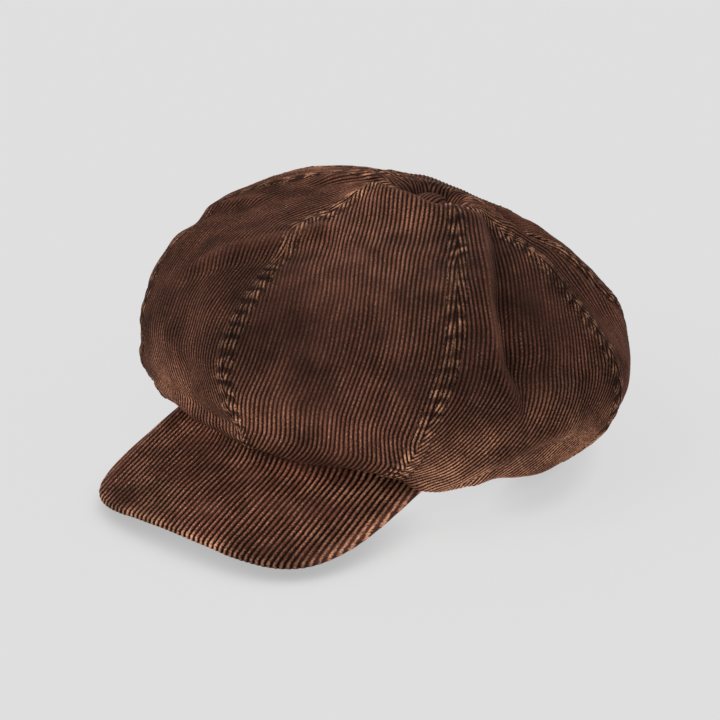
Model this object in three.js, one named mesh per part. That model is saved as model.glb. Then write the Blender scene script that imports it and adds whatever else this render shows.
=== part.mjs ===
// An eight-panel newsboy cap, in millimetres, +Z up, visor towards -Y, the wearer's left at +X.
// The origin is on the table, below the middle of the cap's bounding box.
import * as THREE from 'three';

// ---- Head opening -----------------------------------------------------------------------------
const HEAD_HALF_WIDTH = 83.5;        // inside of the sweatband, side to side
const HEAD_HALF_LENGTH = 99.5;       // inside of the sweatband, front to back
const SWEATBAND_THICKNESS = 1.2;
const HEADBAND_THICKNESS = 3.0;      // corduroy folded over its interlining
const HEADBAND_HEIGHT = 28;
const GAP = 0.3;                     // clearance between pieces that touch
const FRONT_LIFT = 21;               // how far the visor holds the front of the band off the table
const LIFT_STARTS_Y = 25;            // the band lies flat on the table behind this line
const LIFT_ENDS_Y = -50;

// ---- Crown ------------------------------------------------------------------------------------
const CROWN_HALF_WIDTH = 147;
const CROWN_FRONT = 125;             // head centre to the front of the crown
const CROWN_BACK = 115;
const CROWN_HEIGHT = 142;
const EQUATOR_HEIGHT = 49;           // where the crown is widest
const SIDE_DROOP_HEIGHT = 12;        // lowest point of the overhang at the sides and back
const CROWN_OVER_VISOR = 2.5;        // the overhang's clearance above the visor
const OVERHANG_LEAVES_VISOR = 84;    // degrees from the front where it has dropped to the side's height
const OVERHANG_EASE = 34;
const OVERHANG_SHARE = 0.42;         // where the lowest line lies between the band and the widest line
const DIMPLE_DEPTH = 14;             // how far the middle of the top is pulled down
const CREST_FRACTION = 0.37;         // radius of the highest ring, as a share of the crown's radius
const SHOULDER_RADIUS = 0.93;        // shares of the widest radius and of the rise to the crest
const SHOULDER_RISE = 0.47;
const UPPER_RADIUS = 0.68;
const UPPER_RISE = 0.86;
const LIP_RADIUS = 0.155;            // where the top turns down towards the button
const LIP_DROP = 0.06;               // shares of the dimple's depth: at the lip, and beside the button
const DIMPLE_FLOOR_RISE = 0.2;
const DIMPLE_FLOOR_RADIUS = 13;
const SEAM_ALLOWANCE = 1.5;          // how far the panels turn in over the headband's top edge
const FOLD_OUT = 2.6;                // the panels stand out this far before they turn down
const FOLD_DOWN_OUT = 5;             // and this far, a little below the band's top
const FOLD_DOWN = 4;
const SLIDE_X = 6;                   // the soft top slides this far from the head's middle
const SLIDE_Y = 37;
const SLIDE_RISE = 60;               // height above the equator over which the slide sets in
const SLIDE_FROM = 0.9;              // share of the widest radius where it starts, and its span inwards
const SLIDE_SPAN = 0.75;
const APEX_RADIUS = 4.5;             // hole under the button where the panel points meet
const FOLD_CLEARANCE = 3 * GAP;      // panels above the headband's top edge
const CORDUROY = 1.4;
const FRONT_PANEL_ANGLE = 60;        // the front panel is the widest
const SEAM_HALF_GAP = 0.2;
const PANEL_NAMES = [
  'front', 'front_left', 'left', 'back_left', 'back', 'back_right', 'right', 'front_right',
];
const PANEL_FLATNESS = 0.5;          // 0 follows the oval, 1 is a flat facet between two seams
const FACET_STARTS = 0.24;           // share of a profile's knots, from the band, where it stays round
const FACET_ENDS = 0.8;
const FACET_EASE = 0.15;
const CROWN_ROWS = 20;
const COLUMNS_PER_60_DEGREES = 6;

// ---- Lining -----------------------------------------------------------------------------------
const LINING = 0.8;
const LINING_CLEARANCE = 8;          // crown's outer surface to the lining's
const LINING_EDGE_IN = 3.6;          // inside the crown's edge, where it hangs behind the sweatband
const LINING_TUCK = 3;               // below the headband's top
const LINING_TURN_RISE = 6;
const LINING_SIDE_IN = 12;           // the side stands off the crown's widest line
const LINING_SIDE_RISE = 18;
const LINING_ROWS = 12;

// ---- Visor ------------------------------------------------------------------------------------
const VISOR_DEPTH = 75;              // seam to front edge, on the centre line
const VISOR_HALF_WIDTH = 84;
const VISOR_WIDEST_Y = -76;
const VISOR_SQUARENESS = 3.6;        // superellipse exponent of the outline
const VISOR_SEAM_ANGLE = 58;         // the visor seam runs this far either side of the front
const VISOR_SLOPE = 0.139;
const VISOR_ARCH_AT_SEAM = 5;        // drop of the side edges below the centre line
const VISOR_ARCH_GROWTH = 0.06;      // further drop per millimetre of depth
const VISOR_COVER = 1.4;
const VISOR_BOARD = 1.6;
const BOARD_MARGIN = 0.955;          // the board stops short of the covers' edge

// ---- Button and label -------------------------------------------------------------------------
const BUTTON_RADIUS = 10.5;
const BUTTON_HEIGHT = 6.5;
const BUTTON_COVER = 1.1;
const BUTTON_SHELL = 0.7;
const BUTTON_STAND = 2.8;            // the rim stands clear of the panel points
const SHANK_RADIUS = 1.8;
const SHANK_LENGTH = 6;
const BUTTON_BACK = 1.2;             // thickness of the plate that carries the shank
const COVER_TURNED_IN = 3;           // cloth gathered under the button's rim
const COVER_OVER_SHELL = 3 * GAP;
const BACK_INSIDE_SHELL = 4 * GAP;
const LABEL_WIDTH = 26;
const LABEL_HEIGHT = 18;
const LABEL_THICKNESS = 0.6;
const LABEL_ABOVE_SWEATBAND_EDGE = 2;

// ---- Places worked out from the sizes above ------------------------------------------------------
const bandInner = {
  x: HEAD_HALF_WIDTH + SWEATBAND_THICKNESS + GAP,
  y: HEAD_HALF_LENGTH + SWEATBAND_THICKNESS + GAP,
};
const bandOuter = { x: bandInner.x + HEADBAND_THICKNESS, y: bandInner.y + HEADBAND_THICKNESS };
const visorSeamTop = FRONT_LIFT + 2 * VISOR_COVER + VISOR_BOARD + 2 * GAP;
const apexHeight = CROWN_HEIGHT - DIMPLE_DEPTH;
const visorFrontY = -(bandOuter.y + VISOR_DEPTH);
const middleY = (visorFrontY + CROWN_BACK) / 2;

// ---- Materials ----------------------------------------------------------------------------------
const CROWN_BROWN = 0x4a2f22;
const VISOR_BROWN = 0x523425;
const BAND_BROWN = 0x3f281d;
const LINING_BLACK = 0x1d1a19;
const SWEATBAND_BLACK = 0x151414;
const LABEL_WHITE = 0xd9d4c8;
const BOARD_GREY = 0x3a3a3c;
const STEEL = 0xa8a9ac;
const matt = (color, roughness) => new THREE.MeshStandardMaterial({ color, roughness, metalness: 0 });
const corduroy = (colour) => matt(colour, 0.95);
const cloth = (colour) => matt(colour, 0.85);
const plastic = () => matt(BOARD_GREY, 0.5);
const steel = () => new THREE.MeshStandardMaterial({ color: STEEL, roughness: 0.35, metalness: 1 });

// ---- Building blocks ----------------------------------------------------------------------------

/** A closed triangle mesh from points and faces, turned so that its faces point out. */
function closedGeometry(points, faces) {
  const cross = new THREE.Vector3();
  const volume = faces.reduce((sum, [a, b, c]) => {
    cross.crossVectors(points[b], points[c]);
    return sum + points[a].dot(cross);
  }, 0);
  const outward = volume > 0 ? faces : faces.map(([a, b, c]) => [a, c, b]);
  const geometry = new THREE.BufferGeometry();
  const numbers = points.flatMap((point) => point.toArray());
  geometry.setAttribute('position', new THREE.Float32BufferAttribute(numbers, 3));
  geometry.setIndex(outward.flat());
  geometry.computeVertexNormals();
  return geometry;
}

/** A sheet with thickness: two grids of the same size, joined around their border. */
function sheetGeometry(rows, columns, outside, inside) {
  const points = [];
  for (const surface of [outside, inside]) {
    for (let i = 0; i <= rows; i += 1) {
      for (let j = 0; j <= columns; j += 1) points.push(surface(i / rows, j / columns));
    }
  }
  const half = (rows + 1) * (columns + 1);
  const at = (side, i, j) => side * half + i * (columns + 1) + j;
  const faces = [];
  const quad = (a, b, c, d) => faces.push([a, b, c], [a, c, d]);
  for (let i = 0; i < rows; i += 1) {
    for (let j = 0; j < columns; j += 1) {
      quad(at(0, i, j), at(0, i, j + 1), at(0, i + 1, j + 1), at(0, i + 1, j));
      quad(at(1, i, j), at(1, i + 1, j), at(1, i + 1, j + 1), at(1, i, j + 1));
    }
  }
  for (let i = 0; i < rows; i += 1) {
    quad(at(0, i, 0), at(0, i + 1, 0), at(1, i + 1, 0), at(1, i, 0));
    quad(at(0, i, columns), at(1, i, columns), at(1, i + 1, columns), at(0, i + 1, columns));
  }
  for (let j = 0; j < columns; j += 1) {
    quad(at(0, 0, j), at(1, 0, j), at(1, 0, j + 1), at(0, 0, j + 1));
    quad(at(0, rows, j), at(0, rows, j + 1), at(1, rows, j + 1), at(1, rows, j));
  }
  return closedGeometry(points, faces);
}

/** A ring: one closed section, swept once around by steps and joined to itself. */
function ringGeometry(steps, section) {
  const loops = Array.from({ length: steps }, (_, i) => section((2 * Math.PI * i) / steps));
  const size = loops[0].length;
  const faces = [];
  for (let i = 0; i < steps; i += 1) {
    const here = i * size;
    const next = ((i + 1) % steps) * size;
    for (let j = 0; j < size; j += 1) {
      const k = (j + 1) % size;
      faces.push([here + j, next + j, next + k], [here + j, next + k, here + k]);
    }
  }
  return closedGeometry(loops.flat(), faces);
}

/** A piece of the cap as a named mesh. */
function piece(name, geometry, material) {
  const mesh = new THREE.Mesh(geometry, material);
  mesh.name = name;
  return mesh;
}

const radians = THREE.MathUtils.degToRad;
const degrees = THREE.MathUtils.radToDeg;
const ease = (value) => THREE.MathUtils.smoothstep(value, 0, 1);

/** A point of an oval at an angle counted from the front towards the wearer's left. */
function onOval(half, angle, z) {
  return new THREE.Vector3(half.x * Math.sin(angle), -half.y * Math.cos(angle), z);
}

/** Height of the band's lower edge: on the table behind, lifted by the visor in front. */
function bandBottom(angle) {
  const y = -bandOuter.y * Math.cos(angle);
  return FRONT_LIFT * ease((LIFT_STARTS_Y - y) / (LIFT_STARTS_Y - LIFT_ENDS_Y));
}

// ---- Headband and sweatband ---------------------------------------------------------------------

/** A flat strip standing around the head, between two ovals and two heights. */
function strip(inner, outer, bottomOffset, topOffset) {
  return ringGeometry(BAND_STEPS, (angle) => {
    const bottom = bandBottom(angle) + bottomOffset;
    const top = bandBottom(angle) + topOffset;
    return [
      onOval(inner, angle, bottom),
      onOval(outer, angle, bottom),
      onOval(outer, angle, top),
      onOval(inner, angle, top),
    ];
  });
}

const BAND_STEPS = 40;
const SWEATBAND_LIFT = 1.5;          // the sweatband stops above the headband's lower edge
const SWEATBAND_DROP = 4;            // and below its upper edge

function headbandPieces() {
  const sweatInner = { x: HEAD_HALF_WIDTH, y: HEAD_HALF_LENGTH };
  const sweatOuter = { x: sweatInner.x + SWEATBAND_THICKNESS, y: sweatInner.y + SWEATBAND_THICKNESS };
  const sweatTop = HEADBAND_HEIGHT - SWEATBAND_DROP;
  return [
    piece('headband', strip(bandInner, bandOuter, 0, HEADBAND_HEIGHT), corduroy(BAND_BROWN)),
    piece('sweatband', strip(sweatInner, sweatOuter, SWEATBAND_LIFT, sweatTop), cloth(SWEATBAND_BLACK)),
  ];
}

// ---- Crown --------------------------------------------------------------------------------------

/** Radius of an oval towards a direction, with its own length in front and behind. */
function ovalRadius(halfWidth, front, back, angle) {
  const halfLength = Math.cos(angle) > 0 ? front : back;
  return Math.hypot(halfWidth * Math.sin(angle), halfLength * Math.cos(angle));
}

/** The crown's widest radius towards a direction. */
function widestRadius(angle) {
  return ovalRadius(CROWN_HALF_WIDTH, CROWN_FRONT, CROWN_BACK, angle);
}

/** A point at a radius and height in the upright plane of a direction. */
function inPlane(angle, radius, z) {
  const along = onOval({ x: CROWN_HALF_WIDTH, y: Math.cos(angle) > 0 ? CROWN_FRONT : CROWN_BACK }, angle, 0);
  return along.normalize().multiplyScalar(radius).setZ(z);
}

/** The crown's profile above one direction, from the band seam round the overhang to the apex. */
function crownProfile(angle) {
  const widest = widestRadius(angle);
  const direction = inPlane(angle, 1, 0);
  const band = 1 / Math.hypot(direction.x / bandOuter.x, direction.y / bandOuter.y);
  const bandAngle = Math.atan2(direction.x / bandOuter.x, -direction.y / bandOuter.y);
  const bandTop = bandBottom(bandAngle) + HEADBAND_HEIGHT;
  const overhang = inPlane(angle, band + OVERHANG_SHARE * (widest - band), 0);
  const turned = Math.abs(degrees(Math.atan2(Math.sin(angle), Math.cos(angle))));
  const overVisor = ease((OVERHANG_LEAVES_VISOR - turned) / OVERHANG_EASE);
  const droop = THREE.MathUtils.lerp(
    SIDE_DROOP_HEIGHT,
    visorTop(overhang.x, overhang.y) + CROWN_OVER_VISOR,
    overVisor,
  );
  const rise = CROWN_HEIGHT - EQUATOR_HEIGHT;
  return new THREE.CatmullRomCurve3([
    inPlane(angle, band - SEAM_ALLOWANCE, bandTop + FOLD_CLEARANCE),
    inPlane(angle, band + FOLD_OUT, bandTop + FOLD_CLEARANCE),
    inPlane(angle, band + FOLD_DOWN_OUT, bandTop - FOLD_DOWN),
    overhang.setZ(droop),
    inPlane(angle, widest, EQUATOR_HEIGHT),
    inPlane(angle, SHOULDER_RADIUS * widest, EQUATOR_HEIGHT + SHOULDER_RISE * rise),
    inPlane(angle, UPPER_RADIUS * widest, EQUATOR_HEIGHT + UPPER_RISE * rise),
    inPlane(angle, CREST_FRACTION * widest, CROWN_HEIGHT),
    inPlane(angle, LIP_RADIUS * widest, CROWN_HEIGHT - LIP_DROP * DIMPLE_DEPTH),
    inPlane(angle, DIMPLE_FLOOR_RADIUS, apexHeight + DIMPLE_FLOOR_RISE * DIMPLE_DEPTH),
    inPlane(angle, APEX_RADIUS, apexHeight),
  ], false, 'centripetal');
}

/** How much of the top's slide a point takes: none at the sides, all of it at the apex. */
function slideShare(point, widest) {
  const inward = ease((SLIDE_FROM - Math.hypot(point.x, point.y) / widest) / SLIDE_SPAN);
  return inward * ease((point.z - EQUATOR_HEIGHT) / SLIDE_RISE);
}

/** The lining's profile: from the top of the sweatband straight up under the crown. */
function liningProfile(angle) {
  const crown = crownProfile(angle).points;
  const radius = (k) => Math.hypot(crown[k].x, crown[k].y);
  const bandEdge = radius(0) - LINING_EDGE_IN;
  const bandTop = crown[0].z;
  const inward = LINING_CLEARANCE;
  return new THREE.CatmullRomCurve3([
    inPlane(angle, bandEdge, bandTop - LINING_TUCK),
    inPlane(angle, bandEdge + LINING_TUCK, bandTop + LINING_TURN_RISE),
    inPlane(angle, radius(4) - LINING_SIDE_IN, EQUATOR_HEIGHT + LINING_SIDE_RISE),
    inPlane(angle, radius(5) - inward, crown[5].z - 0.4 * inward),
    inPlane(angle, radius(6) - 0.6 * inward, crown[6].z - 0.9 * inward),
    inPlane(angle, radius(7), crown[7].z - inward),
    inPlane(angle, radius(8), crown[8].z - inward),
    inPlane(angle, radius(9), crown[9].z - inward),
    inPlane(angle, APEX_RADIUS, apexHeight - inward),
  ], false, 'centripetal');
}

/** Seam directions in degrees: the wide front panel, then equal panels round the back. */
function seamAngle(k) {
  const others = (360 - FRONT_PANEL_ANGLE) / (PANEL_NAMES.length - 1);
  return FRONT_PANEL_ANGLE / 2 + (k - 1) * others;
}

/** One gore of the crown or the lining, between two seams. */
function goreGeometry(fromDegrees, toDegrees, profile, thickness, rows, columns) {
  const span = radians(toDegrees - fromDegrees);
  const start = radians(fromDegrees);
  const curves = Array.from({ length: columns + 1 }, (_, j) => profile(start + (span * j) / columns));
  const facetDepth = PANEL_FLATNESS * (1 - Math.cos(span / 2));
  const point = (share, s, depth) => {
    const curve = curves[Math.round(s * columns)];
    const base = curve.getPoint(share);
    const tangent = curve.getTangent(share);
    const out = new THREE.Vector3(base.x, base.y, 0).normalize();
    const side = new THREE.Vector3(-out.y, out.x, 0);
    const normal = new THREE.Vector3().crossVectors(side, tangent).normalize();
    const across = 2 * s - 1;
    const flatShare = ease((share - FACET_STARTS) / FACET_EASE) * ease((FACET_ENDS - share) / FACET_EASE);
    const flatten = facetDepth * (1 - across ** 2) * flatShare;
    const radius = Math.hypot(base.x, base.y);
    const slide = slideShare(base, widestRadius(radians(fromDegrees) + span * s));
    base.addScaledVector(out, -flatten * radius);
    base.addScaledVector(normal, -depth);
    const edge = s === 0 || s === 1 ? -across * SEAM_HALF_GAP : 0;
    base.addScaledVector(side, edge);
    return base.add(new THREE.Vector3(SLIDE_X * slide, SLIDE_Y * slide, 0));
  };
  const outside = (share, s) => point(share, s, 0);
  const inside = (share, s) => point(share, s, thickness);
  return sheetGeometry(rows, columns, outside, inside);
}

function gorePieces(prefix, profile, thickness, rows, material) {
  return PANEL_NAMES.map((name, k) => {
    const from = seamAngle(k);
    const to = seamAngle(k + 1);
    const start = k === 0 ? -FRONT_PANEL_ANGLE / 2 : from;
    const columns = Math.round((COLUMNS_PER_60_DEGREES * (to - start)) / 60);
    const geometry = goreGeometry(start, to, profile, thickness, rows, columns);
    return piece(`${prefix}_${name}`, geometry, material());
  });
}

function crownPieces() {
  return gorePieces('crown_panel', crownProfile, CORDUROY, CROWN_ROWS, () => corduroy(CROWN_BROWN));
}

function liningPieces() {
  return gorePieces('lining_panel', liningProfile, LINING, LINING_ROWS, () => cloth(LINING_BLACK));
}

// ---- Visor --------------------------------------------------------------------------------------

/** Height of the visor's upper surface. */
function visorTop(x, y) {
  const depth = -bandOuter.y - y;
  const arch = VISOR_ARCH_AT_SEAM + VISOR_ARCH_GROWTH * Math.max(0, depth + bandOuter.y / 2);
  return visorSeamTop - VISOR_SLOPE * depth - arch * (x / VISOR_HALF_WIDTH) ** 2;
}

const VISOR_ROWS = 6;
const VISOR_COLUMNS = 18;

/** One layer of the visor: from the seam line out to the rounded front edge. */
function visorLayer(dropTop, thickness, margin) {
  const seam = { x: bandOuter.x + GAP, y: bandOuter.y + GAP };
  const surface = (drop) => (t, s) => {
    const sweep = 2 * s - 1;
    const root = onOval(seam, radians(VISOR_SEAM_ANGLE) * sweep, 0);
    const turn = (Math.PI / 2) * sweep;
    const power = 2 / VISOR_SQUARENESS;
    const edge = new THREE.Vector3(
      margin * VISOR_HALF_WIDTH * Math.sign(turn) * Math.abs(Math.sin(turn)) ** power,
      VISOR_WIDEST_Y + margin * (visorFrontY - VISOR_WIDEST_Y) * Math.abs(Math.cos(turn)) ** power,
      0,
    );
    const point = root.lerp(edge, t);
    return point.setZ(visorTop(point.x, point.y) - drop);
  };
  return sheetGeometry(VISOR_ROWS, VISOR_COLUMNS, surface(dropTop), surface(dropTop + thickness));
}

function visorPieces() {
  const boardDrop = VISOR_COVER + GAP;
  const underDrop = boardDrop + VISOR_BOARD + GAP;
  return [
    piece('visor_top_cover', visorLayer(0, VISOR_COVER, 1), corduroy(VISOR_BROWN)),
    piece('visor_board', visorLayer(boardDrop, VISOR_BOARD, BOARD_MARGIN), plastic()),
    piece('visor_under_cover', visorLayer(underDrop, VISOR_COVER, 1), corduroy(VISOR_BROWN)),
  ];
}

// ---- Top button ---------------------------------------------------------------------------------

const BUTTON_SEGMENTS = 16;
const DOME_STEPS = 4;

/** A shallow dome with an open underside, given by its outer radius, height and wall. */
function domeGeometry(radius, height, wall, turnedIn) {
  const arc = (r, h) => Array.from({ length: DOME_STEPS + 1 }, (_, i) => {
    const turn = (Math.PI / 2) * (i / DOME_STEPS);
    return new THREE.Vector2(r * Math.sin(turn), h * Math.cos(turn));
  });
  const lip = turnedIn > 0
    ? [new THREE.Vector2(radius - turnedIn, -wall), new THREE.Vector2(radius - turnedIn, 0)]
    : [];
  const outside = arc(radius, height);
  if (turnedIn > 0) outside.push(new THREE.Vector2(radius, -wall));
  const inside = arc(radius - wall, height - wall).reverse();
  const profile = [...outside, ...lip, ...inside];
  profile[0].x = 0;
  profile[profile.length - 1].x = 0;
  return new THREE.LatheGeometry(profile.reverse(), BUTTON_SEGMENTS);
}

function buttonPieces() {
  const baseZ = apexHeight + BUTTON_COVER + BUTTON_STAND;
  const upright = (geometry, z) => geometry.rotateX(Math.PI / 2).translate(SLIDE_X, SLIDE_Y, z);
  const shellRadius = BUTTON_RADIUS - BUTTON_COVER - GAP;
  const shellHeight = BUTTON_HEIGHT - BUTTON_COVER - COVER_OVER_SHELL;
  const backRadius = shellRadius - BUTTON_SHELL - BACK_INSIDE_SHELL;
  const back = new THREE.LatheGeometry([
    new THREE.Vector2(0, -SHANK_LENGTH),
    new THREE.Vector2(SHANK_RADIUS, -SHANK_LENGTH),
    new THREE.Vector2(SHANK_RADIUS, 0),
    new THREE.Vector2(backRadius, 0),
    new THREE.Vector2(backRadius, BUTTON_BACK),
    new THREE.Vector2(0, BUTTON_BACK),
  ], BUTTON_SEGMENTS);
  const cover = domeGeometry(BUTTON_RADIUS, BUTTON_HEIGHT, BUTTON_COVER, COVER_TURNED_IN);
  const shell = domeGeometry(shellRadius, shellHeight, BUTTON_SHELL, 0);
  return [
    piece('button_cover', upright(cover, baseZ), corduroy(CROWN_BROWN)),
    piece('button_shell', upright(shell, baseZ + GAP), steel()),
    piece('button_shank', upright(back, baseZ + GAP), steel()),
  ];
}

// ---- Care label ---------------------------------------------------------------------------------

function careLabel() {
  const sag = HEAD_HALF_LENGTH * (1 - Math.sqrt(1 - (LABEL_WIDTH / 2 / HEAD_HALF_WIDTH) ** 2));
  const geometry = new THREE.BoxGeometry(LABEL_WIDTH, LABEL_THICKNESS, LABEL_HEIGHT);
  const mesh = piece('care_label', geometry, cloth(LABEL_WHITE));
  const lowEdge = SWEATBAND_LIFT + LABEL_ABOVE_SWEATBAND_EDGE;
  mesh.position.set(0, HEAD_HALF_LENGTH - sag - GAP - LABEL_THICKNESS, lowEdge + LABEL_HEIGHT / 2);
  return mesh;
}

// ---- The cap ------------------------------------------------------------------------------------

const cap = new THREE.Group();
cap.position.y = -middleY;
cap.add(...crownPieces(), ...liningPieces(), ...headbandPieces());
cap.add(...visorPieces(), ...buttonPieces(), careLabel());

export default cap;
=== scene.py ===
"""A washed corduroy newsboy cap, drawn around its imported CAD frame.

Lengths in the shape sections are millimetres in the CAD's own axes: +Z up, visor towards -Y.
Angles go round the crown from the front (0) towards the wearer's left (+X), in degrees.
"""

import math

import bpy
import numpy as np
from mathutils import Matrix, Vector


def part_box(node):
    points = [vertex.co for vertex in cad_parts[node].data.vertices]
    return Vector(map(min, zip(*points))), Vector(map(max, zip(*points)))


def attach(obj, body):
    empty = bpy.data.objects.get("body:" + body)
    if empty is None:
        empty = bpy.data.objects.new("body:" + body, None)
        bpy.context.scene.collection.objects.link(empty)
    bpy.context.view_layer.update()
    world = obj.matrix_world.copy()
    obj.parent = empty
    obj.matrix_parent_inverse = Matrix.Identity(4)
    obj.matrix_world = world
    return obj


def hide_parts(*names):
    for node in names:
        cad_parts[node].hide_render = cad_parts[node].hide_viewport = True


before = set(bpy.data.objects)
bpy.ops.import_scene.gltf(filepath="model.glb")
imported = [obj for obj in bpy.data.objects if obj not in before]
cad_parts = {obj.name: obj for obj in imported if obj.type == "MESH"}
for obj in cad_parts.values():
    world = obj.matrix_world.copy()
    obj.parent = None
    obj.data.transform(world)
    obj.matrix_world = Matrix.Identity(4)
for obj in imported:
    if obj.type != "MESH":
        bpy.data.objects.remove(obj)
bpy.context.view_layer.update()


def box_mm(node):
    """A node's box in millimetres, as two arrays."""
    low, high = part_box(node)
    return np.array(low) * 1000.0, np.array(high) * 1000.0


band_low, band_high = box_mm("headband")
button_low, button_high = box_mm("button_cover")

# ---- Sizes ----
HEAD_Y = (band_low[1] + band_high[1]) / 2  # middle of the head opening
BAND_X = (band_high[0] - band_low[0]) / 2  # the headband's outer half axes
BAND_Y = (band_high[1] - band_low[1]) / 2
BAND_TALL = 28.0
FRONT_LIFT = band_high[2] - band_low[2] - BAND_TALL
TOP_Z = 138.0
APEX_Z = button_low[2] - 2.8

HALF_WIDTH = 149.4
FRONT_LENGTH = 125.1
BACK_LENGTH = 118.0
EQUATOR_Z = 51.0
SIDE_DROOP_Z = 17.5
OVERHANG_SHARE = 0.42  # the lowest line's place, as a share of the way from the band out
TUCK_SHARE = 0.20  # the crown tucks back and up above the visor
TUCK_LIFT = 6.5
TUCK_ANGLES = (50.0, 32.0, 2.0)  # angles where the tuck ends, over which it fades, and its middle
VISOR_ANGLES = (84.0, 34.0)  # the same for the stretch above the visor, without a middle
SHOULDER = ((0.940, 0.45), (0.700, 0.857))  # share of the widest radius, share of the rise
CREST_SHARE = 0.345
SLUMP_X = 6.0  # the soft top has slid towards the wearer's back left
SLUMP_Y = 37.0
TILT_X = -0.042  # rise of the top per millimetre to the side and to the back
TILT_Y = -0.038
LIP_SHARE = 0.155  # where the top turns down towards the button
APEX_RADIUS = 4.5
DIMPLE_RADIUS = 13.0

VISOR_DEPTH = 75.0
VISOR_HALF = 83.2
VISOR_WIDEST = 74.0
VISOR_SQUARE = (4.6, 3.7)  # on the wearer's right and left
VISOR_SPLAY = (4.5, 0.5)  # how much wider the visor gets towards the band
VISOR_SKEW = 0.045  # the corner on the wearer's right lies a little further back
VISOR_SLOPE = 0.139
VISOR_ARCH = 4.3
VISOR_ARCH_GROWTH = 0.059

FRONT_PANEL = 60.0  # degrees, for the flattening only; the other gores share the rest
PANELS = ("front", "front_left", "left", "back_left", "back", "back_right", "right", "front_right")
FLATNESS = 0.5  # how far a gore's middle is flattened towards its chord
POLE_RADIUS = 30.0  # nearer the button, angles are measured as if this far out


def ease(x):
    """0 below 0, 1 above 1, smooth between."""
    x = np.clip(x, 0.0, 1.0)
    return x * x * (3.0 - 2.0 * x)


def hill(x, width):
    """A smooth hill of height 1 at 0."""
    return np.exp(-((x / width) ** 2))


def turn_from(angle, centre):
    """Angle minus centre, wrapped to -180..180."""
    return (angle - centre + 180.0) % 360.0 - 180.0


def band_bottom(y):
    """Height of the headband's lower edge at a distance behind the head's middle."""
    return FRONT_LIFT * ease((25.0 - y) / 75.0)


def visor_top(x, y):
    """Height of the visor's upper side; y counts from the head's middle."""
    depth = -BAND_Y - y
    arch = VISOR_ARCH + VISOR_ARCH_GROWTH * np.maximum(0.0, depth + BAND_Y / 2)
    return FRONT_LIFT + 5.0 - VISOR_SLOPE * depth - arch * (x / VISOR_HALF) ** 2


def crown_direction(angle):
    """Unit direction and widest radius of the crown's plan at each angle."""
    a = np.radians(angle)
    length = np.where(np.cos(a) > 0, FRONT_LENGTH, BACK_LENGTH)
    x, y = HALF_WIDTH * np.sin(a), -length * np.cos(a)
    widest = np.hypot(x, y)
    return x / widest, y / widest, widest


def crown_knots(angle):
    """The crown's profile at each angle: radius and height, from the band to the apex."""
    dx, dy, widest = crown_direction(angle)
    band = 1.0 / np.hypot(dx / BAND_X, dy / BAND_Y)
    top = band_bottom(dy * band) + BAND_TALL
    tucked = ease((TUCK_ANGLES[0] - np.abs(turn_from(angle, TUCK_ANGLES[2]))) / TUCK_ANGLES[1])
    low = band + (OVERHANG_SHARE - TUCK_SHARE * tucked) * (widest - band)
    over_visor = ease((VISOR_ANGLES[0] - np.abs(turn_from(angle, 0.0))) / VISOR_ANGLES[1])
    lip = visor_top(dx * low, dy * low) + 2.0 + TUCK_LIFT * tucked
    droop = SIDE_DROOP_Z + (lip - SIDE_DROOP_Z) * over_visor
    rise = TOP_Z - EQUATOR_Z
    dimple = TOP_Z - APEX_Z
    ones = np.ones_like(widest)
    knots = [
        (band - 1.5, top + 0.9),
        (band + 2.6, top + 0.9),
        (band + 5.0, top - 4.0),
        (low, droop),
        (widest, EQUATOR_Z * ones),
        (SHOULDER[0][0] * widest, (EQUATOR_Z + SHOULDER[0][1] * rise) * ones),
        (SHOULDER[1][0] * widest, (EQUATOR_Z + SHOULDER[1][1] * rise) * ones),
        (CREST_SHARE * widest, TOP_Z * ones),
        (LIP_SHARE * widest, (TOP_Z - 0.06 * dimple) * ones),
        (DIMPLE_RADIUS * ones, (APEX_Z + 0.2 * dimple) * ones),
        (APEX_RADIUS * ones, APEX_Z * ones),
    ]
    return np.stack([np.stack(k, -1) for k in knots], 1)


def smooth_curve(knots, per_segment=36):
    """Centripetal Catmull-Rom curves through rows of knots, N x K x 2 in, N x M x 2 out."""
    gaps = np.sqrt(np.linalg.norm(np.diff(knots, axis=1), axis=2))
    slope = np.diff(knots, axis=1) / gaps[..., None]
    inner = (slope[:, :-1] * gaps[:, 1:, None] + slope[:, 1:] * gaps[:, :-1, None])
    inner /= (gaps[:, :-1] + gaps[:, 1:])[..., None]
    tangent = np.concatenate([slope[:, :1], inner, slope[:, -1:]], 1)
    out = []
    for k in range(knots.shape[1] - 1):
        u = np.linspace(0, 1, per_segment, endpoint=False)[None, :, None]
        h = gaps[:, k][:, None, None]
        p0, p1 = knots[:, k][:, None], knots[:, k + 1][:, None]
        m0, m1 = tangent[:, k][:, None] * h, tangent[:, k + 1][:, None] * h
        out.append((2 * u**3 - 3 * u**2 + 1) * p0 + (u**3 - 2 * u**2 + u) * m0
                   + (3 * u**2 - 2 * u**3) * p1 + (u**3 - u**2) * m1)
    out.append(knots[:, -1:])
    return np.concatenate(out, 1)


TABLE_ANGLES = np.arange(0.0, 361.0, 1.5)
TABLE_ROWS = 400


def crown_table():
    """The smooth crown as radius and height over a grid of angle and share of length."""
    curves = smooth_curve(crown_knots(TABLE_ANGLES))
    steps = np.linalg.norm(np.diff(curves, axis=1), axis=2)
    length = np.concatenate([np.zeros((len(curves), 1)), np.cumsum(steps, 1)], 1)
    share = length / length[:, -1:]
    wanted = np.linspace(0, 1, TABLE_ROWS)
    return [np.stack([np.interp(wanted, s, c[:, n]) for s, c in zip(share, curves)]) for n in (0, 1)]


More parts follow.
